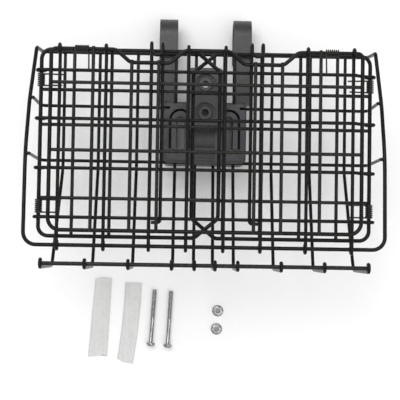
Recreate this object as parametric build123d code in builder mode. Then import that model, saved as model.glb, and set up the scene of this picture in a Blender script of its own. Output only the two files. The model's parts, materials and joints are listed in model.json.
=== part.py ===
"""Folding wire handlebar basket, folded flat, with its bar bracket and loose mounting kit.

Frame: millimetres, +Z up, +X to the right, +Y towards the bar hooks. The origin lies on the
table, below the middle of the hinge that joins the floor grid to the back grid. The basket
lies on its bracket: the back grid is low, the floor grid is folded flat above it, the side
walls hang under the floor and the front wall lies on top of the floor.
"""
from build123d import *
from math import asin, cos, degrees, radians, sin
import os

os.makedirs("parts", exist_ok=True)

# ---- Wire and hinge sizes ----
rod_r = 2.0                    # rim and frame rods
wire_r = 1.75                  # grid wires
hinge_gap = 0.35               # radial play of a wire curl on its hinge rod
curl_r = rod_r + hinge_gap + wire_r
curl_sweep = 265               # degrees that a curl wraps round its rod
stack = rod_r + wire_r         # centre distance of a wire welded on a rod

# ---- Heights above the table ----
bracket_h = 42.0               # outer bracket body and hook arms
upright_z = 44.0               # back grid uprights
cross_z = upright_z + 2 * wire_r
hinge_z = cross_z + 97         # hinge between back grid and floor grid
ledge_z = hinge_z + 42

# ---- Floor grid: u is the distance from the back hinge, n the height above hinge_z ----
front_u = 197
front_n = 2 * curl_r
floor_cross_n = curl_r
floor_long_n = curl_r - 2 * wire_r
side_x = 167.5
left_n = floor_long_n - curl_r
right_n = left_n - (rod_r + stack + wire_r + 1.4)
floor_cross_x = (18.7, 101.5, 148)
floor_long_y = (28, 77.5, 127.5, 176.5)
latch_x = 56                 # floor wire that carries a spring latch
latch_stay_x = 44.8            # return leg of the latch
latch_reach = 3                # straight run past the front hinge axis
latch_end_y = 24
latch_end_r = 3                # bend at the end of the return leg

# ---- Side walls: s is the distance from the side hinge ----
side_near, side_far = 9, 198
side_height = 181
side_corner = (20, 24)         # cut free corners, along the rim and down the end
side_rib_y = (47.5, 121.5, 157)
side_rail_s = (33, 71, 111, 149)

# ---- Front wall ----
front_half = 156.5
front_free_u = 15
dip_depth = 13
dip_outer, dip_inner, dip_slope = 92, 22.5, 15
dip_bend = 9
front_upright_x = (48.5, 75.5, 114)
front_cross_u = (95, 163)

# ---- Back grid ----
back_half, back_top_half = 182, 178.6
back_top_y = 212
# Each side rod's course: distance from the hinge, height over the grid, distance from the middle.
back_side_steps = ((95, 85.5, 183.2), (150, 65, 183), (208, 48.5, 179))
back_cross_y = (92.5, 152.5)
back_cross_half = 179.2
back_upright_x = (10, 32, 74, 116, 154.5)
back_fan = 4                   # how far the outermost uprights spread at the hinge end
back_upright_end = 215
flat_end_y = 84                # below here the uprights rise towards the hinge end
foot_z = 92                    # height where they turn up to the ledge rod
ledge_y = -18
ledge_half = 159.5

# ---- Hinge springs ----
spring_wire_r = 0.8
spring_mean_r = rod_r + 0.35 + spring_wire_r
spring_turns = 6.5
spring_len = 13
side_spring_y = (32.5, 160.3)
front_spring_x = 119.3
spring_leg = 22

# ---- Bracket ----
plate_half, plate_low, plate_high = 44.5, 92, 157
plate_t = 3
plate_z = cross_z + wire_r
plate_top = plate_z + plate_t
body_half, body_low, body_high = 46, 92, 160
wall = 3
window_x, window_half = 26.6, 4.3        # two open windows with round tops
window_low, window_round = 107.5, 138.8  # foot of a window, centre of its round top
arch_r, arch_h = 9.6, 2.2                # raised arch round each window
groove_r = 12.4                          # open groove round each arch
low_screw = (38.5, 99.5)                 # two screws from below into the plate's low pads
pad_h = 1.6
slot_y = 152.3                           # slots open to both ends of the plate
centre_screw_y = 144.5
open_seat_y = 175.5
screw_r, screw_head_r, screw_head_h = 2.0, 3.7, 2.5
screw_hole_r = 2.15
block_half, block_low, block_high = 19, 127, 193
block_top = 76
seat_r, seat_depth, seat_hole_r = 11, 3.5, 3.9
screw_seat_z = 61                        # where the centre screw's head sits in the block
post_r, post_neck_r = 5.5, 4.2           # screw posts in the body, and their necks in the grid
nut_z, nut_h, nut_half = 1, 3.2, 3.5

# ---- Hook arms ----
arm_x, arm_w, arm_t = 41, 20, 3.6
hook_y, hook_z, hook_r = 234.5, 21, 21
hook_in = hook_r - arm_t
hook_end_y = 208
clamp_hole_y = 213
clamp_hole_r = 2.7
arm_foot_z = 12                # lowest point of the arm's root on the body
web_y, web_z = 176, 32         # middle of the hollow curve under the arm's root
straight_y = 200               # from here the arm keeps its thickness

# ---- Release slider ----
slider_half, slider_low, slider_high = 12, 89.5, 127.5
slider_z, slider_t = plate_top + 0.3, 3.2
thumb_half, thumb_h = 10.8, 6.5          # ribbed thumb rest on the slider's base
ramp_top, ramp_foot = 108, 121
guide_t = 1.8
lip_w, lip_t = 1.1, 1.2
slide_gap = 0.3
stop_y = 138.5                           # inner wall that the return spring pushes on
spring_z = slider_z + 3.7
return_r, return_wire_r = 3.1, 0.45
tongue_end = 133
cavity_top = plate_top + 8


def finish(piece, name):
    """Label a finished piece and write its STEP file."""
    piece.part.label = name
    export_step(piece.part, f"parts/{name}.step")


def round_bar(path, radius):
    """Sweep a round bar along a path, into the part being built."""
    with BuildSketch(Plane(origin=path.line @ 0, z_dir=path.line % 0)) as section:
        Circle(radius)
    sweep(sections=section.sketch, path=path.line)


def straight_bar(start, end, radius):
    """A straight round bar between two points."""
    with BuildLine() as path:
        Line(start, end)
    round_bar(path, radius)


def bent_bar(points, bend, radius, close=False):
    """A round bar bent through a list of corner points."""
    with BuildLine() as path:
        FilletPolyline(*points, radius=bend, close=close)
    round_bar(path, radius)


def lengthwise(x):
    """Upright plane across X: local x runs along +Y, local y is the height above the hinge."""
    return Plane(origin=(x, 0, hinge_z), x_dir=(0, 1, 0), z_dir=(1, 0, 0))


def crosswise(y):
    """Upright plane across Y: local x runs along +X, local y is the height above the hinge."""
    return Plane(origin=(0, y, hinge_z), x_dir=(1, 0, 0), z_dir=(0, -1, 0))


def both_sides(values):
    """Each distance from the middle plane, on the left and on the right, once if it is 0."""
    return sorted({side * value for value in values for side in (-1, 1)})


def hinge_coil(start, axis, hand):
    """A torsion spring round a hinge rod: it starts at the top and both legs point inwards."""
    frame = Plane(origin=start, x_dir=(0, 0, 1), z_dir=axis)
    coil = Edge.make_helix(spring_len / spring_turns, spring_len, spring_mean_r, lefthand=hand)
    coil = coil.moved(frame.location)
    with BuildSketch(Plane(origin=coil @ 0, z_dir=coil % 0)) as section:
        Circle(spring_wire_r)
    sweep(sections=section.sketch, path=coil, is_frenet=True)
    straight_bar(coil @ 0, coil @ 0 - (coil % 0) * spring_leg, spring_wire_r)
    straight_bar(coil @ 1, coil @ 1 + (coil % 1) * spring_leg, spring_wire_r)


# ---- Back grid ----

# Rim: hinge rod in front of the floor, sides that sink towards the top, low top rod.
right_rim = [(back_half, 0, hinge_z)]
for step_y, step_h, step_x in back_side_steps:
    right_rim.append((step_x, step_y, cross_z + step_h))
right_rim.append((back_top_half, back_top_y, cross_z + 0.25))
left_rim = [(-x, y, z) for x, y, z in reversed(right_rim)]
with BuildPart() as back_rim_loop:
    bent_bar(right_rim + left_rim, [13, 150, 150, 5, 6, 6, 5, 150, 150, 13], rod_r, close=True)
finish(back_rim_loop, "back_rim_loop")

# Cross wires: low across the grid, both ends turned up to meet the rim sides.
with BuildPart() as back_cross_wires:
    for y, (_, rim_h, _) in zip(back_cross_y, back_side_steps):
        top = cross_z + rim_h + 1
        bent_bar(
            [(-back_cross_half, y, top), (-back_cross_half, y, cross_z),
             (back_cross_half, y, cross_z), (back_cross_half, y, top)], 8, wire_r)
finish(back_cross_wires, "back_cross_wires")

# Uprights: flat under the bracket, rising to the hinge end, then up and over the ledge rod.
with BuildPart() as back_uprights:
    for x in both_sides(back_upright_x):
        fan = back_fan * x / abs(x) if abs(x) == back_upright_x[-1] else 0
        with BuildLine() as path:
            FilletPolyline(
                (x, back_upright_end, upright_z), (x, flat_end_y, upright_z),
                (x + fan, ledge_y - stack, foot_z), (x + fan, ledge_y - stack, ledge_z),
                radius=[30, 16])
            with BuildLine(lengthwise(x + fan)):
                CenterArc((ledge_y, ledge_z - hinge_z), stack, 180, -215)
        round_bar(path, wire_r)
finish(back_uprights, "back_uprights")

with BuildPart() as back_ledge_rod:
    straight_bar((-ledge_half, ledge_y, ledge_z), (ledge_half, ledge_y, ledge_z), rod_r)
finish(back_ledge_rod, "back_ledge_rod")

# ---- Floor grid ----

# Cross wires: curled down round the back hinge rod and up round the front wall's hinge rod.
with BuildPart() as floor_cross_wires:
    for x in both_sides(floor_cross_x):
        with BuildLine(lengthwise(x)) as path:
            CenterArc((0, 0), curl_r, 90 + curl_sweep, -curl_sweep)
            Line((0, floor_cross_n), (front_u, floor_cross_n))
            CenterArc((front_u, front_n), curl_r, -90, curl_sweep)
        round_bar(path, wire_r)
finish(floor_cross_wires, "floor_cross_wires")

# Latch wires: a floor wire that loops past the front hinge, crosses over and runs back.
loop_u = front_u + latch_reach
cross_r = (latch_x - latch_stay_x) / 2
loop_top = floor_cross_n + 2 * curl_r
with BuildPart() as floor_latch_wires:
    for side in (-1, 1):
        outer_x = side * latch_x
        inner_x = side * latch_stay_x
        with BuildLine() as path:
            with BuildLine(lengthwise(outer_x)):
                CenterArc((0, 0), curl_r, 90 + curl_sweep, -curl_sweep)
                Line((0, floor_cross_n), (loop_u, floor_cross_n))
                CenterArc((loop_u, front_n), curl_r, -90, 180)
                Line((loop_u, loop_top), (front_u, loop_top))
            with BuildLine(Plane.XY.offset(hinge_z + loop_top)):
                CenterArc(((outer_x + inner_x) / 2, front_u), cross_r, 0, -180)
            with BuildLine(lengthwise(inner_x)):
                Line((front_u, loop_top), (loop_u, loop_top))
                CenterArc((loop_u, front_n), curl_r, 90, -180)
                Line((loop_u, floor_cross_n), (latch_end_y + latch_end_r, floor_cross_n))
            with BuildLine(Plane.XY.offset(hinge_z + floor_cross_n)):
                turned_x = inner_x + latch_end_r * side
                RadiusArc((inner_x, latch_end_y + latch_end_r), (turned_x, latch_end_y),
                          -latch_end_r * side)
                Line((turned_x, latch_end_y), (outer_x - 2.2 * side, latch_end_y))
        round_bar(path, wire_r)
finish(floor_latch_wires, "floor_latch_wires")

# Long wires: under the cross wires, curled down round both side hinge rods.
with BuildPart() as floor_long_wires:
    for y in floor_long_y:
        with BuildLine(crosswise(y)) as path:
            CenterArc((-side_x, left_n), curl_r, 90 + curl_sweep, -curl_sweep)
            FilletPolyline(
                (-side_x, floor_long_n), (150, floor_long_n), (160, right_n + curl_r),
                (side_x, right_n + curl_r), radius=5)
            CenterArc((side_x, right_n), curl_r, 90, -curl_sweep)
        round_bar(path, wire_r)
finish(floor_long_wires, "floor_long_wires")


# ---- Side walls ----

def side_wall(name, side, axis_n):
    """One folded side wall, hinged at x = side * side_x: its frame, its ribs and its rails."""
    z = hinge_z + axis_n
    cut_y, cut_s = side_corner

    def at(y, s, drop=0):
        return (side * (side_x - s), y, z - drop)

    with BuildPart() as frame:
        bent_bar(
            [at(side_near, 0), at(side_far, 0), at(side_far, side_height - cut_s),
             at(side_far - cut_y, side_height), at(side_near + cut_y, side_height),
             at(side_near, side_height - cut_s)],
            [10, 10, 8, 8, 8, 8], rod_r, close=True)
    finish(frame, f"side_{name}_frame")

    with BuildPart() as ribs:
        for y in side_rib_y:
            straight_bar(at(y, rod_r, 0.25), at(y, side_height - rod_r, 0.25), wire_r)
    finish(ribs, f"side_{name}_ribs")

    with BuildPart() as rails:
        for s in side_rail_s:
            straight_bar(at(side_near - rod_r, s, stack), at(side_far + rod_r, s, stack), wire_r)
    finish(rails, f"side_{name}_rails")


side_wall("left", -1, left_n)
side_wall("right", 1, right_n)


# ---- Front wall ----

front_z = hinge_z + front_n
dip_u = front_u - dip_depth
right_half = [
    (dip_inner, front_u, front_z), (dip_inner + dip_slope, dip_u, front_z),
    (dip_outer - dip_slope, dip_u, front_z), (dip_outer, front_u, front_z),
    (front_half, front_u, front_z), (front_half, front_free_u, front_z)]
left_half = [(-x, y, z) for x, y, z in reversed(right_half)]
with BuildPart() as front_frame:
    bends = [dip_bend] * 4 + [5, 12, 12, 5] + [dip_bend] * 4
    bent_bar(right_half + left_half, bends, rod_r, close=True)
finish(front_frame, "front_frame")

with BuildPart() as front_uprights:
    for x in both_sides(front_upright_x):
        in_dip = dip_inner < abs(x) < dip_outer
        top_u = (dip_u if in_dip else front_u) + rod_r
        straight_bar((x, top_u, front_z + stack), (x, front_free_u - rod_r, front_z + stack), wire_r)
finish(front_uprights, "front_uprights")

with BuildPart() as front_cross_wires:
    for y in front_cross_u:
        reach = front_half - rod_r
        straight_bar((-reach, y, front_z + 0.25), (reach, y, front_z + 0.25), wire_r)
finish(front_cross_wires, "front_cross_wires")


# ---- Hinge springs ----

for name, side, axis_n in (("left", -1, left_n), ("right", 1, right_n)):
    with BuildPart() as side_springs:
        for y in side_spring_y:
            hinge_coil((side * side_x, y, hinge_z + axis_n), (0, 1, 0), side < 0)
    finish(side_springs, f"side_springs_{name}")

with BuildPart() as front_springs:
    for side in (-1, 1):
        start_x = front_spring_x if side > 0 else -front_spring_x - spring_len
        hinge_coil((start_x, front_u, front_z), (1, 0, 0), True)
finish(front_springs, "front_springs")


# ---- Bracket ----

low_spots = [(side * low_screw[0], low_screw[1]) for side in (-1, 1)]
centre_spot = (0, centre_screw_y)


def window(x, half, mode=Mode.ADD):
    """A tall shape with a round top, drawn into the sketch being built."""
    with Locations((x, (window_low + window_round) / 2)):
        Rectangle(2 * half, window_round - window_low, mode=mode)
    with Locations((x, window_round)):
        Circle(half, mode=mode)


# Inner plate: lies on the cross wires; windows, arches and grooves beside the slider's guides.
with BuildPart() as bracket_inner_plate:
    with BuildSketch(Plane.XY.offset(plate_z)) as outline:
        with Locations((0, (plate_low + plate_high) / 2)):
            Rectangle(2 * plate_half, plate_high - plate_low)
        fillet(outline.vertices(), 5)
        with Locations((-plate_half, slot_y), (plate_half, slot_y)):
            SlotOverall(13, 3, mode=Mode.SUBTRACT)
        for x in (-window_x, window_x):
            window(x, groove_r, Mode.SUBTRACT)
    extrude(amount=plate_t)
    for base_z, height in ((plate_z, plate_t), (plate_top, arch_h)):
        with BuildSketch(Plane.XY.offset(base_z)):
            for x in (-window_x, window_x):
                window(x, arch_r)
                window(x, window_half, Mode.SUBTRACT)
            if base_z == plate_top:
                with Locations((0, (block_low + plate_high) / 2)):
                    Rectangle(2 * block_half + 0.4, plate_high - block_low + 0.4, mode=Mode.SUBTRACT)
        extrude(amount=height)
    with BuildSketch(Plane.XY.offset(plate_top)):
        with Locations((-29, low_screw[1]), (29, low_screw[1])):
            RectangleRounded(27, 9, 3)
    extrude(amount=pad_h)
    # Guides and lips of the slider.
    for side in (-1, 1):
        with BuildSketch(Plane.XY.offset(plate_top)):
            with Locations((side * (slider_half + slide_gap + guide_t / 2),
                            (plate_low + block_low) / 2)):
                Rectangle(guide_t, block_low - plate_low)
        extrude(amount=slide_gap + slider_t + slide_gap + lip_t)
        with BuildSketch(Plane.XY.offset(slider_z + slider_t + slide_gap)):
            with Locations((side * (slider_half + slide_gap - lip_w / 2),
                            (plate_low + block_low) / 2)):
                Rectangle(lip_w, block_low - plate_low)
        extrude(amount=lip_t)
    with BuildSketch(Plane.XY.offset(plate_z)):
        with Locations(centre_spot):
            Circle(screw_hole_r)
    extrude(amount=plate_t, mode=Mode.SUBTRACT)
    with BuildSketch(Plane.XY.offset(plate_z)):
        with Locations(*low_spots):
            Circle(screw_hole_r)
    extrude(amount=plate_t + 0.5, mode=Mode.SUBTRACT)
finish(bracket_inner_plate, "bracket_inner_plate")

# Centre block: a tall housing on the plate; two dished seats, a ribbed top edge, a low cavity.
with BuildPart() as bracket_centre_block:
    with BuildSketch(Plane(origin=(-block_half, 0, 0), x_dir=(0, 1, 0), z_dir=(1, 0, 0))):
        with BuildLine():
            Polyline(
                (block_low, plate_top), (block_low, block_top - 5),
                (block_low + 4, block_top), (block_high, block_top),
                (block_high, plate_top), close=True)
        make_face()
    extrude(amount=2 * block_half)
    fillet(bracket_centre_block.edges().filter_by(Axis.Z).sort_by(Axis.Y)[-2:], 5)
    fillet(bracket_centre_block.faces().sort_by(Axis.Z)[-1].edges(), 1.5)
    with BuildSketch(Plane.XY.offset(plate_top)):
        with Locations((0, (block_low + stop_y) / 2)):
            Rectangle(2 * (slider_half + slide_gap), stop_y - block_low)
    extrude(amount=cavity_top - plate_top, mode=Mode.SUBTRACT)
    for y in (centre_screw_y, open_seat_y):
        with BuildSketch(Plane.XY.offset(block_top)):
            with Locations((0, y)):
                Circle(seat_r)
        extrude(amount=-seat_depth, mode=Mode.SUBTRACT)
        with BuildSketch(Plane.XY.offset(block_top - seat_depth)):
            with Locations((0, y)):
                Circle(seat_r - 3)
        extrude(amount=seat_depth / 2, taper=25)
    with BuildSketch(Plane.XY.offset(block_top)):
        with Locations((0, open_seat_y)):
            Circle(seat_hole_r)
    extrude(amount=plate_top - block_top, mode=Mode.SUBTRACT)
    with BuildSketch(Plane.XY.offset(block_top)):
        with Locations(centre_spot):
            Circle(seat_hole_r)
    extrude(amount=screw_seat_z - block_top, mode=Mode.SUBTRACT)
    with BuildSketch(Plane.XY.offset(plate_top)):
        with Locations(centre_spot):
            Circle(screw_hole_r)
    extrude(amount=screw_seat_z - plate_top, mode=Mode.SUBTRACT)
    with BuildSketch(Plane.XY.offset(block_top)):
        with Locations((0, block_high - 4)):
            with GridLocations(2.6, 1, 11, 1):
                Rectangle(1.3, 4)
    extrude(amount=0.8)
finish(bracket_centre_block, "bracket_centre_block")

# Outer body: an open box under the uprights, with screw posts and a window below each window.
with BuildPart() as bracket_body:
    body_mid = (0, (body_low + body_high) / 2)
    with BuildSketch() as shell:
        with Locations(body_mid):
            Rectangle(2 * body_half, body_high - body_low)
        fillet(shell.vertices(), 6)
    extrude(amount=bracket_h)
    fillet(bracket_body.faces().sort_by(Axis.Z)[0].edges(), 2)
    with BuildSketch(Plane.XY.offset(wall)) as hollow:
        with Locations(body_mid):
            Rectangle(2 * (body_half - wall), body_high - body_low - 2 * wall)
        fillet(hollow.vertices(), 3)
    extrude(amount=bracket_h, mode=Mode.SUBTRACT)
    with BuildSketch():
        with Locations((-window_x, 129), (window_x, 129)):
            RectangleRounded(16, 46, 3)
    extrude(amount=wall, mode=Mode.SUBTRACT)
    with BuildSketch():
        with Locations(*low_spots, centre_spot):
            Circle(post_r)
    extrude(amount=bracket_h)
    with BuildSketch(Plane.XY.offset(bracket_h)):
        with Locations(*low_spots, centre_spot):
            Circle(post_neck_r)
    extrude(amount=plate_z - bracket_h)
    with BuildSketch():
        with Locations(*low_spots, centre_spot):
            Circle(screw_hole_r)
    extrude(amount=plate_z, mode=Mode.SUBTRACT)
    with BuildSketch():
        with Locations(*low_spots):
            Circle(screw_head_r + 0.3)
        with Locations(centre_spot):
            RegularPolygon(nut_half + 0.1, 6, major_radius=False)
    extrude(amount=nut_z + nut_h, mode=Mode.SUBTRACT)
finish(bracket_body, "bracket_body")


# ---- Hook arms ----

def hook_arm(name, side):
    """One flat arm from the bracket body that curls away from the grid round the bar."""
    with BuildPart() as arm:
        with BuildSketch(Plane(origin=(side * arm_x - arm_w / 2, 0, 0), x_dir=(0, 1, 0),
                               z_dir=(1, 0, 0))) as side_view:
            with BuildLine():
                Line((body_high, bracket_h), (hook_y, bracket_h))
                CenterArc((hook_y, hook_z), hook_r, 90, -180)
                Line((hook_y, 0), (hook_end_y, 0))
                Line((hook_end_y, 0), (hook_end_y, arm_t))
                Line((hook_end_y, arm_t), (hook_y, arm_t))
                CenterArc((hook_y, hook_z), hook_in, -90, 180)
                Line((hook_y, bracket_h - arm_t), (straight_y, bracket_h - arm_t))
                ThreePointArc((straight_y, bracket_h - arm_t), (web_y, web_z), (body_high, arm_foot_z))
                Line((body_high, arm_foot_z), (body_high, bracket_h))
            make_face()
        extrude(amount=arm_w)
        tip_edges = arm.edges().filter_by(Axis.X)
        fillet(tip_edges.filter_by_position(Axis.Y, hook_end_y - 0.1, hook_end_y + 0.1), 1.4)
        with BuildSketch(Plane.XY):
            with Locations((side * arm_x, clamp_hole_y)):
                Circle(clamp_hole_r)
        extrude(amount=bracket_h, mode=Mode.SUBTRACT)
        # A small notch in the crest of the hook.
        with BuildSketch(Plane.XY):
            with Locations((side * arm_x, hook_y + hook_r)):
                Rectangle(4, 2.4)
        extrude(amount=bracket_h, mode=Mode.SUBTRACT)
    finish(arm, f"hook_arm_{name}")


hook_arm("left", -1)
hook_arm("right", 1)


# ---- Release slider and its spring ----

with BuildPart() as release_slider:
    with BuildSketch(Plane.XY.offset(slider_z)) as base:
        with Locations((0, (slider_low + slider_high) / 2)):
            Rectangle(2 * slider_half, slider_high - slider_low)
        fillet(base.vertices(), 1.5)
    extrude(amount=slider_t)
    # Thumb rest: ribs on its flat top and a hollow ramp down to the base.
    with BuildSketch(Plane(origin=(-thumb_half, 0, slider_z), x_dir=(0, 1, 0), z_dir=(1, 0, 0))):
        with BuildLine():
            Polyline(
                (ramp_foot, slider_t), (slider_low + 0.5, slider_t),
                (slider_low + 0.5, thumb_h), (ramp_top, thumb_h))
            ThreePointArc((ramp_top, thumb_h), (113.5, 4.3), (ramp_foot, slider_t))
        make_face()
    extrude(amount=2 * thumb_half)
    with BuildSketch(Plane.XY.offset(slider_z + thumb_h)):
        with Locations((0, 98.5)):
            with GridLocations(1, 3.5, 1, 5):
                Rectangle(2 * thumb_half - 1.6, 1.6)
    extrude(amount=1.2)
    # End wall and short tongue that carry the return spring.
    with BuildSketch(Plane.XY.offset(slider_z)):
        with Locations((0, slider_high - 1)):
            Rectangle(10, 2)
    extrude(amount=7.2)
    with BuildSketch(Plane.XY.offset(spring_z - 1.3)):
        with Locations((0, (slider_high + tongue_end) / 2)):
            Rectangle(4, tongue_end - slider_high)
    extrude(amount=2.6)
finish(release_slider, "release_slider")

return_len = stop_y - slider_high - 2 * return_wire_r
with BuildPart() as slider_spring:
    with BuildLine() as path:
        Helix(return_len / 4, return_len, return_r,
              center=(0, slider_high + return_wire_r, spring_z), direction=(0, 1, 0))
    with BuildSketch(Plane(origin=path.line @ 0, z_dir=path.line % 0)):
        Circle(return_wire_r)
    sweep(path=path.line, is_frenet=True)
finish(slider_spring, "slider_spring")


# ---- Bracket screws and nut ----

with BuildPart() as bracket_screws:
    for (x, y), start_z, end_z in (
            (low_spots[0], nut_z + nut_h, plate_top + 0.3),
            (low_spots[1], nut_z + nut_h, plate_top + 0.3),
            (centre_spot, screw_seat_z, nut_z)):
        head_side = 1 if start_z > end_z else -1
        with BuildSketch(Plane.XY.offset(start_z)):
            with Locations((x, y)):
                Circle(screw_r)
        extrude(amount=end_z - start_z)
        with BuildSketch(Plane.XY.offset(start_z)):
            with Locations((x, y)):
                Circle(screw_head_r)
        extrude(amount=head_side * screw_head_h)
        with BuildSketch(Plane.XY.offset(start_z + head_side * screw_head_h)):
            with Locations((x, y)):
                Rectangle(4.4, 0.9)
                Rectangle(0.9, 4.4)
        extrude(amount=-1.4 * head_side, mode=Mode.SUBTRACT)
finish(bracket_screws, "bracket_screws")

with BuildPart() as bracket_nut:
    with BuildSketch(Plane.XY.offset(nut_z)):
        with Locations(centre_spot):
            RegularPolygon(nut_half, 6, major_radius=False)
            Circle(screw_r + 0.05, mode=Mode.SUBTRACT)
    extrude(amount=nut_h)
finish(bracket_nut, "bracket_nut")


# ---- Loose mounting kit, laid out on the table ----

bolt_len, bolt_r = 60, 2.5
bolt_head_r, bolt_head_h = 4.9, 4.2
bolt_heads = ((-55.9, -108), (-36.8, -109.5))
bolt_turn = (3.4, 2.8)         # degrees clockwise from +Y
bolt_tilt = degrees(asin((bolt_head_r - bolt_r) / bolt_len))
with BuildPart() as loose_clamp_bolts:
    for (x, y), turn in zip(bolt_heads, bolt_turn):
        along = Vector(sin(radians(turn)), cos(radians(turn)), -sin(radians(bolt_tilt)))
        seat = Plane(origin=(x, y, bolt_head_r + 0.05), z_dir=along)
        with BuildSketch(seat):
            Circle(bolt_r)
        extrude(amount=bolt_len)
        with BuildSketch(seat):
            Circle(bolt_head_r)
        extrude(amount=-bolt_head_h, taper=18)
        with BuildSketch(seat.offset(-bolt_head_h)):
            Rectangle(4.8, 1)
            Rectangle(1, 4.8)
        extrude(amount=1.8, mode=Mode.SUBTRACT)
finish(loose_clamp_bolts, "loose_clamp_bolts")

nut_spots = ((19.2, -71.3, 12), (18, -91.8, 40))
flange_r = 6.3
with BuildPart() as loose_clamp_nuts:
    for x, y, turn in nut_spots:
        with BuildSketch():
            with Locations((x, y)):
                Circle(flange_r)
        extrude(amount=1.2, taper=20)
        with BuildSketch(Plane.XY.offset(1)):
            with Locations((x, y)):
                RegularPolygon(4, 6, major_radius=False, rotation=turn)
        extrude(amount=4)
        with BuildSketch():
            with Locations((x, y)):
                Circle(bolt_r - 0.3)
        extrude(amount=5, mode=Mode.SUBTRACT)
finish(loose_clamp_nuts, "loose_clamp_nuts")

strip_len, strip_t = 90, 1.5
straight_w, curved_w = 20.2, 18.5
with BuildPart() as loose_grip_strips:
    with BuildSketch():
        with Locations(Location((-113, -80.5, 0), (0, 0, -3.5))):
            RectangleRounded(straight_w, strip_len, 1.5)
    extrude(amount=strip_t)
    with BuildSketch() as curved:
        with BuildLine():
            ThreePointArc((-76.5, -41), (-79.2, -86.3), (-84.8, -130.8))
        trace(line_width=curved_w)
    extrude(amount=strip_t)
finish(loose_grip_strips, "loose_grip_strips")
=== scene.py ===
"""Looks of the folding handlebar basket: coated wire, sprung hinges, moulded bracket, loose kit."""
import json
import math

import bmesh
import bpy
from mathutils import Matrix, Vector

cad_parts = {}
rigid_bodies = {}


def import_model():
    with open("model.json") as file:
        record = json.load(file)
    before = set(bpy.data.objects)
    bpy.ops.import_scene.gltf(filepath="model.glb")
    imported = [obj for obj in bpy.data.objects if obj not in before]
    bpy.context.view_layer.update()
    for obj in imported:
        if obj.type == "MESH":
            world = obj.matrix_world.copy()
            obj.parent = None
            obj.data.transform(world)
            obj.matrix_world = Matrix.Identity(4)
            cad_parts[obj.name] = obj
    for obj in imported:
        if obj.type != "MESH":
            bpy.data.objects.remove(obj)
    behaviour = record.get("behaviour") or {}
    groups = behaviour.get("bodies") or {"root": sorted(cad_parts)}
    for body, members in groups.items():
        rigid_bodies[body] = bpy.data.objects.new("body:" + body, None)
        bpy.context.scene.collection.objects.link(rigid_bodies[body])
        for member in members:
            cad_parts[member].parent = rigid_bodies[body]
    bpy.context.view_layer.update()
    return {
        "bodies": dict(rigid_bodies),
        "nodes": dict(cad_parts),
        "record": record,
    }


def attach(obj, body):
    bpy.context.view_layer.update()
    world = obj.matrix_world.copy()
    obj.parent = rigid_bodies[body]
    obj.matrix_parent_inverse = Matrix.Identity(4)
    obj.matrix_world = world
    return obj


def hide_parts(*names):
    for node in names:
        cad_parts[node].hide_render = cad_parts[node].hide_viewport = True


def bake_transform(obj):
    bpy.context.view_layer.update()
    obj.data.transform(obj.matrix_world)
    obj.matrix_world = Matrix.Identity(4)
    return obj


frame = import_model()
MM = 0.001

# ---- Sizes shared with the CAD part, in millimetres ----
WIRE_R = 1.75
CURL_R = 4.1                           # from a hinge rod's axis to that of a wire curled on it
# Heights: back uprights, back hinge, ledge rod, then the hinges of the other walls.
UPRIGHT_Z, HINGE_Z, LEDGE_Z = 44, 144.5, 186.5
LEFT_Z, RIGHT_Z, FRONT_Z = HINGE_Z - 3.5, HINGE_Z - 12.4, HINGE_Z + 2 * CURL_R
# Back grid: each upright's place and how much further out it meets the ledge rod.
BACK_UPRIGHTS = ((10, 0), (32, 0), (74, 0), (116, 0), (154.5, 4))
BACK_CROSS_Y, BACK_TOP_Y, LEDGE_Y = (92.5, 152.5), 212, -18.0
RIM_SIDE_X, RIM_SIDE_Z = 181, (133, 112.5)   # where the cross wires' ends meet the rim
# Floor grid.
FLOOR_CROSS_X = (18.7, 44.8, 56, 101.5, 148)
FLOOR_LONG_Y = (28, 77.5, 127.5, 176.5)
# Side walls: hinge, end rods, ribs, then rails and the ribs' two ends as distances from the hinge.
SIDE_X = 167.5
SIDE_ENDS, SIDE_RIBS, SIDE_RAILS = (9, 198), (47.5, 121.5, 157), (33, 71, 111, 149)
RIB_ENDS = (1.6, 179.4)
# Front wall: hinge rod, free rod, cross wires and their ends; uprights and the latch dips.
FRONT_U, FRONT_FREE, FRONT_CROSS, FRONT_SIDE_X = 197.0, 15.0, (95, 163), 155.2
FRONT_UPRIGHTS, DIP_EDGE, DIP_DEPTH = (48.5, 75.5, 114), 92, 13
# Hinge springs: wire and coil radius, coil length, turns, leg length; places on the hinges.
SPRING_R, SPRING_MEAN, SPRING_LEN, SPRING_TURNS, LEG = 0.8, 3.15, 13.0, 6.5, 22.0
SPRING_Y, FRONT_SPRING_X = (32.5, 160.3), 119.3
X, Y, Z = Vector((1, 0, 0)), Vector((0, 1, 0)), Vector((0, 0, 1))


# ---- Node helpers ----

def new_material(name):
    """An empty material with one Principled shader on its output."""
    material = bpy.data.materials.new(name)
    material.use_nodes = True
    tree = material.node_tree
    tree.nodes.clear()
    output = tree.nodes.new("ShaderNodeOutputMaterial")
    shader = tree.nodes.new("ShaderNodeBsdfPrincipled")
    tree.links.new(shader.outputs[0], output.inputs[0])
    return material, tree, shader


def noise(tree, scale, detail=4.0, rough=0.55, stretch=None):
    """A noise pattern fixed to the object; scale counts features per metre."""
    coords = tree.nodes.new("ShaderNodeTexCoord")
    source = coords.outputs["Object"]
    if stretch:
        mapping = tree.nodes.new("ShaderNodeMapping")
        mapping.inputs["Scale"].default_value = stretch
        tree.links.new(source, mapping.inputs[0])
        source = mapping.outputs[0]
    node = tree.nodes.new("ShaderNodeTexNoise")
    node.inputs["Scale"].default_value = scale
    node.inputs["Detail"].default_value = detail
    node.inputs["Roughness"].default_value = rough
    tree.links.new(source, node.inputs["Vector"])
    return node.outputs["Fac"]


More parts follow.
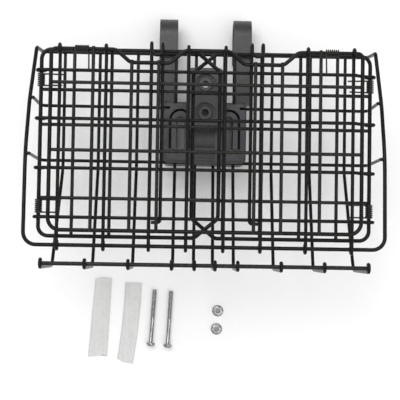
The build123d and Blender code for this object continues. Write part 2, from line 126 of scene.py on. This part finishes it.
def ramp(tree, value, stops):
    """Colours or greys at places along 0 to 1."""
    node = tree.nodes.new("ShaderNodeValToRGB")
    elements = node.color_ramp.elements
    while len(elements) < len(stops):
        elements.new(0.5)
    for element, (place, colour) in zip(elements, stops):
        element.position = place
        grey = isinstance(colour, (int, float))
        element.color = (colour, colour, colour, 1) if grey else (*colour, 1)
    tree.links.new(value, node.inputs[0])
    return node.outputs[0]


def bump(tree, height, strength, distance, shader, below=None):
    """Relief on the shader's normal, over the relief below it; distance is in metres."""
    node = tree.nodes.new("ShaderNodeBump")
    node.inputs["Strength"].default_value = strength
    node.inputs["Distance"].default_value = distance
    tree.links.new(height, node.inputs["Height"])
    if below:
        tree.links.new(below, node.inputs["Normal"])
    tree.links.new(node.outputs[0], shader.inputs["Normal"])
    return node.outputs[0]


def edge_wear(tree, low, high):
    """Grey that rises on outer edges, broken up by noise."""
    geometry = tree.nodes.new("ShaderNodeNewGeometry")
    edges = ramp(tree, geometry.outputs["Pointiness"], [(low, 0.0), (high, 1.0)])
    spots = ramp(tree, noise(tree, 900, 3), [(0.42, 0.0), (0.62, 1.0)])
    mix = tree.nodes.new("ShaderNodeMath")
    mix.operation = "MULTIPLY"
    tree.links.new(edges, mix.inputs[0])
    tree.links.new(spots, mix.inputs[1])
    return mix.outputs[0]


def mix_colours(tree, factor, first, second):
    """A mix of two colours, each a tuple or a socket."""
    node = tree.nodes.new("ShaderNodeMix")
    node.data_type = "RGBA"
    tree.links.new(factor, node.inputs[0])
    for socket, value in ((node.inputs[6], first), (node.inputs[7], second)):
        if isinstance(value, tuple):
            socket.default_value = (*value, 1)
        else:
            tree.links.new(value, socket)
    return node.outputs[2]


# ---- Materials ----

def coated_wire():
    """Black powder coat: slightly warm, fine orange peel, faint runs and rubbed spots."""
    material, tree, shader = new_material("coated_wire")
    tone = ramp(tree, noise(tree, 60, 3), [
        (0.3, (0.0042, 0.0040, 0.0037)), (0.7, (0.0085, 0.0080, 0.0072))])
    worn = edge_wear(tree, 0.53, 0.60)
    tree.links.new(mix_colours(tree, worn, tone, (0.028, 0.027, 0.025)),
                   shader.inputs["Base Color"])
    tree.links.new(ramp(tree, noise(tree, 240, 4), [(0.3, 0.22), (0.75, 0.38)]),
                   shader.inputs["Roughness"])
    shader.inputs["Specular IOR Level"].default_value = 0.12
    shader.inputs["Coat Weight"].default_value = 0.03
    shader.inputs["Coat Roughness"].default_value = 0.22
    peel = bump(tree, noise(tree, 1500, 2), 0.25, 0.0002, shader)
    bump(tree, noise(tree, 180, 3), 0.3, 0.0004, shader, peel)
    return material


def spring_wire():
    """Dark drawn spring steel with a dull sheen."""
    material, tree, shader = new_material("spring_wire")
    tone = ramp(tree, noise(tree, 500, 4), [
        (0.3, (0.010, 0.0098, 0.0095)), (0.7, (0.034, 0.033, 0.031))])
    tree.links.new(tone, shader.inputs["Base Color"])
    shader.inputs["Metallic"].default_value = 0.55
    tree.links.new(ramp(tree, noise(tree, 900, 3), [(0.3, 0.30), (0.7, 0.5)]),
                   shader.inputs["Roughness"])
    bump(tree, noise(tree, 2600, 2), 0.3, 0.00008, shader)
    return material


def moulded(name, dark, light, rough_low, rough_high):
    """Filled nylon: fine spark texture, flow marks, paler rubbed edges."""
    material, tree, shader = new_material(name)
    tone = ramp(tree, noise(tree, 90, 3, 0.5, (1.0, 0.35, 1.0)), [(0.3, dark), (0.72, light)])
    worn = edge_wear(tree, 0.53, 0.60)
    pale = tuple(min(1.0, 1.7 * value) for value in light)
    tree.links.new(mix_colours(tree, worn, tone, pale), shader.inputs["Base Color"])
    tree.links.new(ramp(tree, noise(tree, 420, 3), [(0.3, rough_low), (0.7, rough_high)]),
                   shader.inputs["Roughness"])
    grain = bump(tree, noise(tree, 2400, 2, 0.6), 0.12, 0.0001, shader)
    bump(tree, noise(tree, 150, 2), 0.15, 0.0004, shader, grain)
    return material


def dark_steel():
    """Blackened steel of the bracket's screws and nut."""
    material, tree, shader = new_material("dark_steel")
    tone = ramp(tree, noise(tree, 700, 4), [(0.3, (0.03, 0.03, 0.03)), (0.7, (0.07, 0.068, 0.066))])
    tree.links.new(tone, shader.inputs["Base Color"])
    shader.inputs["Metallic"].default_value = 0.8
    tree.links.new(ramp(tree, noise(tree, 1200, 3), [(0.3, 0.32), (0.7, 0.5)]),
                   shader.inputs["Roughness"])
    bump(tree, noise(tree, 3000, 2), 0.2, 0.00005, shader)
    return material


def zinc():
    """Bright zinc plate with soft cloudy patches and fine drawn lines."""
    material, tree, shader = new_material("zinc_plate")
    tone = ramp(tree, noise(tree, 350, 4), [
        (0.3, (0.24, 0.237, 0.232)), (0.55, (0.36, 0.36, 0.36)), (0.8, (0.47, 0.47, 0.475))])
    tree.links.new(tone, shader.inputs["Base Color"])
    shader.inputs["Metallic"].default_value = 1.0
    tree.links.new(ramp(tree, noise(tree, 900, 4), [(0.25, 0.14), (0.75, 0.3)]),
                   shader.inputs["Roughness"])
    bump(tree, noise(tree, 1800, 3, 0.6, (1.0, 0.2, 1.0)), 0.12, 0.00004, shader)
    return material


def soft_rubber():
    """Milky clear rubber: soft flow streaks along it under paler clouds."""
    material, tree, shader = new_material("clear_rubber")
    streaks = ramp(tree, noise(tree, 110, 3, 0.5, (3.0, 0.12, 1.0)), [
        (0.3, (0.545, 0.545, 0.54)), (0.7, (0.615, 0.615, 0.61))])
    clouds = ramp(tree, noise(tree, 35, 2), [(0.35, 0.0), (0.7, 0.6)])
    tone = mix_colours(tree, clouds, streaks, (0.64, 0.635, 0.625))
    tree.links.new(tone, shader.inputs["Base Color"])
    tree.links.new(ramp(tree, noise(tree, 260, 3), [(0.3, 0.2), (0.7, 0.36)]),
                   shader.inputs["Roughness"])
    shader.inputs["Subsurface Weight"].default_value = 0.25
    shader.inputs["Subsurface Radius"].default_value = (0.004, 0.004, 0.004)
    shader.inputs["Subsurface Scale"].default_value = 1.0
    shader.inputs["Specular IOR Level"].default_value = 0.45
    bump(tree, noise(tree, 120, 2, 0.5, (4.0, 0.3, 1.0)), 0.25, 0.0005, shader)
    return material


def paper():
    """Matt white backdrop paper."""
    material, tree, shader = new_material("backdrop_paper")
    tone = ramp(tree, noise(tree, 3, 2), [(0.3, (0.86, 0.86, 0.86)), (0.7, (0.88, 0.88, 0.88))])
    tree.links.new(tone, shader.inputs["Base Color"])
    shader.inputs["Roughness"].default_value = 0.9
    bump(tree, noise(tree, 300, 3), 0.05, 0.0002, shader)
    return material


WIRE = coated_wire()
SPRING = spring_wire()
BRACKET = moulded("bracket_nylon", (0.030, 0.030, 0.033), (0.046, 0.046, 0.050), 0.42, 0.58)
ARM = moulded("arm_nylon", (0.010, 0.010, 0.0105), (0.019, 0.019, 0.020), 0.36, 0.5)
SLIDER = moulded("slider_nylon", (0.018, 0.018, 0.019), (0.030, 0.030, 0.032), 0.34, 0.5)
SCREW = dark_steel()
ZINC = zinc()
RUBBER = soft_rubber()

materials_of = {"black_wire": WIRE, "spring_steel": SPRING, "grey_plastic": BRACKET,
                "slider_plastic": SLIDER, "black_steel": SCREW, "zinc_steel": ZINC,
                "clear_rubber": RUBBER}
slot_of = {s["node"]: s["material_slot"] for s in frame["record"]["subparts"]}
for node, piece in frame["nodes"].items():
    piece.data.materials.clear()
    dark_half = node.startswith("hook_arm") or node == "bracket_body"
    piece.data.materials.append(ARM if dark_half else materials_of[slot_of[node]])


# ---- Mesh helpers ----

def add_piece(name, mesh_data, material, smooth=True):
    """Turns a bmesh into an object with its finish."""
    mesh = bpy.data.meshes.new(name)
    mesh_data.normal_update()
    mesh_data.to_mesh(mesh)
    mesh_data.free()
    piece = bpy.data.objects.new(name, mesh)
    bpy.context.scene.collection.objects.link(piece)
    mesh.materials.append(material)
    for polygon in mesh.polygons:
        polygon.use_smooth = smooth
    return piece


def stitch(target, loops, closed=False):
    """Joins rings of points into a skin; closed also joins the last ring to the first."""
    for low, high in zip(loops, loops[1:] + (loops[:1] if closed else [])):
        sides = len(low)
        for k in range(sides):
            n = (k + 1) % sides
            target.faces.new((low[k], low[n], high[n], high[k]))


def tube(target, points, radius, sides):
    """Sweeps a round section along points in millimetres, without twist, and rounds its ends."""
    points = [Vector(p) * MM for p in points]
    tangents = []
    for i in range(len(points)):
        before, after = points[max(i - 1, 0)], points[min(i + 1, len(points) - 1)]
        tangents.append((after - before).normalized())
    normal = tangents[0].orthogonal().normalized()
    rings = []
    for here, tangent in zip(points, tangents):
        normal = (normal - tangent * normal.dot(tangent)).normalized()
        side = tangent.cross(normal)
        rings.append([
            target.verts.new(here + radius * MM * (math.cos(a) * normal + math.sin(a) * side))
            for a in (2 * math.pi * k / sides for k in range(sides))])
    stitch(target, rings)
    for ring, outward in ((rings[0], -tangents[0]), (rings[-1], tangents[-1])):
        centre = sum((v.co for v in ring), Vector()) / sides
        size = (ring[0].co - centre).length
        inner = [target.verts.new(centre + (v.co - centre) * 0.6 + outward * size * 0.45)
                 for v in ring]
        tip = target.verts.new(centre + outward * size * 0.6)
        for k in range(sides):
            n = (k + 1) % sides
            target.faces.new((ring[k], ring[n], inner[n], inner[k]))
            target.faces.new((inner[k], inner[n], tip))
    bmesh.ops.recalc_face_normals(target, faces=target.faces)


# ---- Pressed welds where wires of one panel cross ----

def nugget(target, at, axis_a, axis_b, size=1.0):
    """A small lens of weld metal between two crossing wires."""
    ball = bmesh.ops.create_icosphere(target, subdivisions=2, radius=1.0)
    a, b = Vector(axis_a).normalized(), Vector(axis_b).normalized()
    up = a.cross(b).normalized()
    turn = Matrix((a, b, up)).transposed().to_4x4()
    wide, deep = 2.1 * size, 1.35 * size
    shape = Matrix.Diagonal((wide, wide, deep, 1))
    place = Matrix.Translation(Vector(at) * MM) @ turn @ Matrix.Scale(MM, 4) @ shape
    bmesh.ops.transform(target, verts=ball["verts"], matrix=place)


NEST = 1.9                             # from the axis of a crossed rod or wire to the welds on it
END_WELD = 0.9                         # size of the smaller welds at the ends of ribs

welds = {body: bmesh.new() for body in frame["bodies"]}
for side in (-1, 1):
    # Back grid: uprights under the cross wires and the top rod, then curled over the ledge rod.
    back = welds["back_wall"]
    for x, spread in BACK_UPRIGHTS:
        for y in BACK_CROSS_Y:
            nugget(back, (side * x, y, UPRIGHT_Z + WIRE_R), X, Y)
        nugget(back, (side * x, BACK_TOP_Y, UPRIGHT_Z + WIRE_R + 0.2), X, Y)
        nugget(back, (side * (x + spread), LEDGE_Y - NEST, LEDGE_Z), X, Z)
    for y, z in zip(BACK_CROSS_Y, RIM_SIDE_Z):
        nugget(back, (side * RIM_SIDE_X, y, z), Y, Z)
    # Floor grid: long wires under the cross wires.
    for x in FLOOR_CROSS_X:
        for y in FLOOR_LONG_Y:
            nugget(welds["floor_panel"], (side * x, y, HINGE_Z + CURL_R - WIRE_R), X, Y)
    # Front wall: uprights above the frame, cross wires level with it.
    front = welds["front_wall"]
    for x in FRONT_UPRIGHTS:
        hinge_end = FRONT_U - DIP_DEPTH if x < DIP_EDGE else FRONT_U
        for y in (FRONT_FREE, *FRONT_CROSS, hinge_end):
            nugget(front, (side * x, y, FRONT_Z + NEST), X, Y)
    for y in FRONT_CROSS:
        nugget(front, (side * FRONT_SIDE_X, y, FRONT_Z), X, Y, END_WELD)
# Side walls: ribs level with the frame, rails under it.
for name, side, z in (("left_wall", -1, LEFT_Z), ("right_wall", 1, RIGHT_Z)):
    for s in SIDE_RAILS:
        for y in SIDE_ENDS + SIDE_RIBS:
            nugget(welds[name], (side * (SIDE_X - s), y, z - NEST), X, Y)
    for y in SIDE_RIBS:
        for s in RIB_ENDS:
            nugget(welds[name], (side * (SIDE_X - s), y, z - 0.1), X, Y, END_WELD)
for body, data in welds.items():
    if data.verts:
        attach(add_piece(f"welds_{body}", data, WIRE), body)
    else:
        data.free()


# ---- Springs ----

def spring_points(start, axis, hand):
    """Leg, coil and leg of a torsion spring that starts above its rod, in millimetres."""
    up, side = Z.copy(), axis.cross(Z).normalized() * (-1 if hand else 1)
    steps, leg_steps = int(SPRING_TURNS * 20), 8
    coil = []
    for i in range(steps + 1):
        turn = 2 * math.pi * SPRING_TURNS * i / steps
        coil.append(start + axis * (SPRING_LEN * i / steps)
                    + SPRING_MEAN * (math.cos(turn) * up + math.sin(turn) * side))
    first = (coil[1] - coil[0]).normalized()
    last = (coil[-1] - coil[-2]).normalized()
    flat_first = (first - axis * first.dot(axis)).normalized()
    flat_last = (last - axis * last.dot(axis)).normalized()
    lead = [coil[0] - flat_first * LEG * (leg_steps - k) / leg_steps for k in range(leg_steps)]
    tail = [coil[-1] + flat_last * LEG * (k + 1) / leg_steps for k in range(leg_steps)]
    return lead + coil + tail


def hinge_spring(name, starts, axis, hand, node):
    """Torsion springs on one hinge, built where they rest and attached to no body."""
    for number, start in enumerate(starts):
        data = bmesh.new()
        start = Vector(start)
        tube(data, spring_points(start, axis, hand), SPRING_R, 10)
        piece = add_piece(f"{name}_{number + 1}", data, SPRING)
        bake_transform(piece)
        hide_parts(node)


hinge_spring("hinge_spring_left", [(-SIDE_X, y, LEFT_Z) for y in SPRING_Y],
             Y, True, "side_springs_left")
hinge_spring("hinge_spring_right", [(SIDE_X, y, RIGHT_Z) for y in SPRING_Y],
             Y, False, "side_springs_right")
hinge_spring("hinge_spring_front",
             [(x, FRONT_U, FRONT_Z) for x in (-FRONT_SPRING_X - SPRING_LEN, FRONT_SPRING_X)],
             X, True, "front_springs")


def slider_coil():
    """The slider's return spring: its far end pushes on the block, its near end on the slider."""
    near_y, far_y, axis_z = 127.95, 138.05, 56.25
    radius, wire_r, turns, steps = 3.1, 0.45, 4, 96
    points = []
    for i in range(steps + 1):
        angle = 2 * math.pi * turns * i / steps
        points.append((radius * math.cos(angle), near_y + (far_y - near_y) * i / steps,
                       axis_z + radius * math.sin(angle)))
    data = bmesh.new()
    tube(data, points, wire_r, 8)
    piece = add_piece("return_spring", data, SPRING)
    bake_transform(piece)
    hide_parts("slider_spring")


slider_coil()


# ---- Loose kit ----

THREAD_R, PITCH, BOLT_LEN, BOLT_HEAD_R = 2.5, 0.8, 60.0, 4.9


def bolt(name, head, turn_deg):
    """A zinc-plated pan-head bolt: cross recess, plain neck, rolled thread and chamfered end."""
    data = bmesh.new()
    sides, shank, neck_r, thread_depth = 28, 27.0, 2.2, 0.36
    # Head, then neck: place along the bolt and radius. Then the thread, six rings to a turn.
    profile = [(-4.2, 0.02), (-4.1, 2.4), (-3.6, 3.5), (-2.7, 4.25), (-1.5, 4.7),
               (-0.3, BOLT_HEAD_R), (0.0, 4.75), (0.05, 2.45), (0.4, neck_r), (shank - 1, neck_r)]
    rings = [(z, r, False) for z, r in profile]
    z = shank
    while z < BOLT_LEN - PITCH:
        rings.append((z, THREAD_R, True))
        z += PITCH / 6
    rings += [(BOLT_LEN - 0.7, 2.2, False), (BOLT_LEN, 1.7, False), (BOLT_LEN, 0.02, False)]
    loops = []
    for z, r, threaded in rings:
        loop = []
        for k in range(sides):
            a = 2 * math.pi * k / sides
            depth = 0.0
            if threaded:
                phase = (z / PITCH - k / sides) % 1.0
                fade = min(1.0, max(0.0, (z - shank) / (3 * PITCH)))
                depth = thread_depth * fade * abs(2 * phase - 1)
            spot = Vector(((r - depth) * math.cos(a), (r - depth) * math.sin(a), z))
            loop.append(data.verts.new(spot * MM))
        loops.append(loop)
    stitch(data, loops)
    # Cross recess: the points of the head's top that lie on its arms sink.
    arm_half, arm_reach, recess_depth = 0.55, 2.4, 1.2
    for vert in data.verts:
        x, y, z = vert.co / MM
        if z < -2.0 and min(abs(x), abs(y)) < arm_half and max(abs(x), abs(y)) < arm_reach:
            vert.co.z += recess_depth * MM
    bmesh.ops.recalc_face_normals(data, faces=data.faces)
    # It lies on the table on its head's edge and its thread's end.
    turn, tilt = math.radians(turn_deg), math.asin((BOLT_HEAD_R - THREAD_R) / BOLT_LEN)
    along = Vector((math.sin(turn), math.cos(turn), -math.sin(tilt)))
    pose = along.to_track_quat("Z", "X").to_matrix().to_4x4()
    data.transform(Matrix.Translation(Vector((*head, BOLT_HEAD_R + 0.05)) * MM) @ pose)
    piece = add_piece(name, data, ZINC)
    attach(piece, "back_wall")
    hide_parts("loose_clamp_bolts")


bolt("clamp_bolt_1", (-55.9, -108), 3.4)
bolt("clamp_bolt_2", (-36.8, -109.5), 2.8)


def flange_nut(name, x, y, turn_deg):
    """Flange nut: dished washer face, chamfered hexagon, bore with a thread."""
    data = bmesh.new()
    sides, steps = 48, 30
    bore_r, thread_depth, bore_top, bore_deep = 2.2, 0.3, 4.7, 4.2

    def hexagon(a, flat, corner):
        """Radius of a hexagon with rounded corners."""
        part = (math.degrees(a) - turn_deg) % 60 - 30
        return min(flat / math.cos(math.radians(part)), corner)

    # Height and radius, from the washer face's bore edge out, up and back in to the bore.
    rows = [
        (0.0, lambda a: 2.6), (0.0, lambda a: 6.0), (0.25, lambda a: 6.3), (0.75, lambda a: 6.2),
        (1.35, lambda a: 5.2), (1.6, lambda a: hexagon(a, 4.0, 4.55)),
        (4.2, lambda a: hexagon(a, 4.0, 4.55)), (4.7, lambda a: min(hexagon(a, 3.95, 4.5), 4.2)),
        (5.0, lambda a: 3.75), (5.0, lambda a: 2.75), (4.7, lambda a: 2.45)]
    angles = [2 * math.pi * k / sides for k in range(sides)]
    loops = [[data.verts.new(Vector((r(a) * math.cos(a), r(a) * math.sin(a), z)) * MM)
              for a in angles] for z, r in rows]
    for i in range(1, steps):
        z = bore_top - bore_deep * i / steps
        loop = []
        for k, a in enumerate(angles):
            r = bore_r + thread_depth * abs(2 * ((z / PITCH - k / sides) % 1.0) - 1)
            loop.append(data.verts.new(Vector((r * math.cos(a), r * math.sin(a), z)) * MM))
        loops.append(loop)
    stitch(data, loops, closed=True)
    bmesh.ops.recalc_face_normals(data, faces=data.faces)
    data.transform(Matrix.Translation(Vector((x, y, 0)) * MM))
    piece = add_piece(name, data, ZINC, smooth=False)
    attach(piece, "back_wall")
    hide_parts("loose_clamp_nuts")


flange_nut("clamp_nut_1", 19.2, -71.3, 12)
flange_nut("clamp_nut_2", 18, -91.8, 40)


def strip(name, centreline, widths, thickness, cuts):
    """A soft strip along a line of points: shallow trough, rolled edges, snipped end corners.

    Each of the cuts is (end, flank, width of the snip, length of the snip); an end is -1 for the
    first and 1 for the last, and a flank is 1 to the right of the line and -1 to its left.
    """
    data = bmesh.new()
    across, roll_r, trough_deep, trough_wide, lift = 16, 0.7, 0.2, 0.22, 0.35
    top, bottom = [], []
    count = len(centreline)
    for i, here in enumerate(centreline):
        before, after = centreline[max(i - 1, 0)], centreline[min(i + 1, count - 1)]
        tangent = Vector((after[0] - before[0], after[1] - before[1], 0)).normalized()
        side = Vector((tangent.y, -tangent.x, 0))
        half = (widths[0] + (widths[1] - widths[0]) * i / (count - 1)) / 2
        row_top, row_bottom = [], []
        for k in range(across + 1):
            u = 2 * k / across - 1
            shift = 0.0
            for end, flank, snip, length in cuts:
                inside = snip - half * (1 - u * flank)
                if inside > 0 and i == (0 if end < 0 else count - 1):
                    shift -= end * length * inside / snip
            edge = min(1.0, (1 - abs(u)) * half / roll_r)
            soft = math.sqrt(max(0.0, 1 - (1 - edge) ** 2))
            place = Vector((here[0], here[1], 0)) + side * (u * half) + tangent * shift
            trough = trough_deep * math.exp(-(u / trough_wide) ** 2)
            height = thickness * (0.55 + 0.45 * soft) - trough
            row_top.append(data.verts.new((place + Z * height) * MM))
            row_bottom.append(data.verts.new((place + Z * (lift * (1 - soft))) * MM))
        top.append(row_top)
        bottom.append(row_bottom)
    for i in range(count - 1):
        for k in range(across):
            data.faces.new((top[i][k], top[i][k + 1], top[i + 1][k + 1], top[i + 1][k]))
            data.faces.new((bottom[i][k], bottom[i + 1][k], bottom[i + 1][k + 1], bottom[i][k + 1]))
        for k in (0, across):
            data.faces.new((top[i][k], top[i + 1][k], bottom[i + 1][k], bottom[i][k]))
    for i in (0, count - 1):
        for k in range(across):
            data.faces.new((top[i][k], top[i][k + 1], bottom[i][k + 1], bottom[i][k]))
    bmesh.ops.recalc_face_normals(data, faces=data.faces)
    piece = add_piece(name, data, RUBBER)
    bevel = piece.modifiers.new("soft_edges", "BEVEL")
    bevel.width, bevel.segments, bevel.limit_method = 0.0003, 2, "ANGLE"
    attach(piece, "back_wall")
    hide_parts("loose_grip_strips")


def arc_points(start, middle, end, steps):
    """Points on the curve through three points, in the table plane."""
    points = []
    for i in range(steps + 1):
        t = i / steps
        a, b, c = (1 - t) * (1 - 2 * t), 4 * t * (1 - t), t * (2 * t - 1)
        points.append((a * start[0] + b * middle[0] + c * end[0],
                       a * start[1] + b * middle[1] + c * end[1]))
    return points


STRIP_STEPS = 40
straight_line = [(-110.3 - 5.4 * i / STRIP_STEPS, -35.7 - 89.6 * i / STRIP_STEPS)
                 for i in range(STRIP_STEPS + 1)]
curved_line = arc_points((-76.5, -41.2), (-79.2, -86.3), (-84.8, -130.6), STRIP_STEPS)
strip("grip_strip_1", straight_line, (18.4, 21.4), 1.5, [(-1, 1, 8, 2.6), (1, -1, 21, 3.2)])
strip("grip_strip_2", curved_line, (18.7, 18.2), 1.5, [(1, 1, 6, 3.4)])


# ---- Backdrop, light and camera ----

def backdrop():
    """A wide paper sweep that lies flat under the basket and rises far behind it."""
    data = bmesh.new()
    rows, columns, wide = 40, 24, 6.0
    near_y, depth, flat_to_y, steepness, below_table = -4.0, 9.0, 2.6, 0.35, 0.0004
    grid = []
    for i in range(rows + 1):
        y = near_y + depth * (i / rows)
        z = -below_table + steepness * max(0.0, y - flat_to_y) ** 2
        grid.append([data.verts.new((wide * (2 * k / columns - 1), y, z))
                     for k in range(columns + 1)])
    for i in range(rows):
        for k in range(columns):
            data.faces.new((grid[i][k], grid[i][k + 1], grid[i + 1][k + 1], grid[i + 1][k]))
    mesh = bpy.data.meshes.new("backdrop")
    data.to_mesh(mesh)
    data.free()
    sheet = bpy.data.objects.new("backdrop", mesh)
    bpy.context.scene.collection.objects.link(sheet)
    mesh.materials.append(paper())
    for polygon in mesh.polygons:
        polygon.use_smooth = True


def area_light(name, place, target, size, power):
    """A soft box that faces a point."""
    light = bpy.data.lights.new(name, "AREA")
    light.shape = "RECTANGLE"
    light.size, light.size_y = size
    light.energy = power
    lamp = bpy.data.objects.new(name, light)
    bpy.context.scene.collection.objects.link(lamp)
    lamp.location = place
    lamp.rotation_euler = (Vector(target) - Vector(place)).to_track_quat("-Z", "Y").to_euler()


backdrop()
area_light("key_softbox", (-0.5, 1.2, 2.1), (0, 0.05, 0), (1.6, 1.2), 26)
area_light("fill_softbox", (0.9, -1.0, 1.9), (0, 0.0, 0), (1.8, 1.8), 14)
area_light("top_softbox", (0.0, 0.1, 2.6), (0, 0.05, 0), (2.4, 2.4), 22)

world = bpy.data.worlds.new("studio")
bpy.context.scene.world = world
world.use_nodes = True
world.node_tree.nodes["Background"].inputs[0].default_value = (1.0, 1.0, 1.0, 1)
world.node_tree.nodes["Background"].inputs[1].default_value = 0.55

scene = bpy.context.scene
scene.view_settings.view_transform = "Standard"
scene.view_settings.look = "None"
scene.view_settings.exposure = 0.0

camera_data = bpy.data.cameras.new("camera")
camera_data.sensor_width = 36
camera_data.lens = 99
camera_data.clip_start, camera_data.clip_end = 0.05, 50
camera = bpy.data.objects.new("camera", camera_data)
scene.collection.objects.link(camera)
# The camera looks down almost vertically and is rolled a little, as in the photograph.
eye = Vector((-0.020, -0.0028, 1.25))
aim = Vector((-0.005, 0.0472, 0.149))
roll = math.radians(0.95)
look = (aim - eye).normalized()
right = look.cross(Y).normalized()
up = right.cross(look)
turned_right = right * math.cos(roll) + up * math.sin(roll)
turned_up = up * math.cos(roll) - right * math.sin(roll)
camera.matrix_world = Matrix((
    (turned_right.x, turned_up.x, -look.x, eye.x),
    (turned_right.y, turned_up.y, -look.y, eye.y),
    (turned_right.z, turned_up.z, -look.z, eye.z),
    (0, 0, 0, 1)))
scene.camera = camera
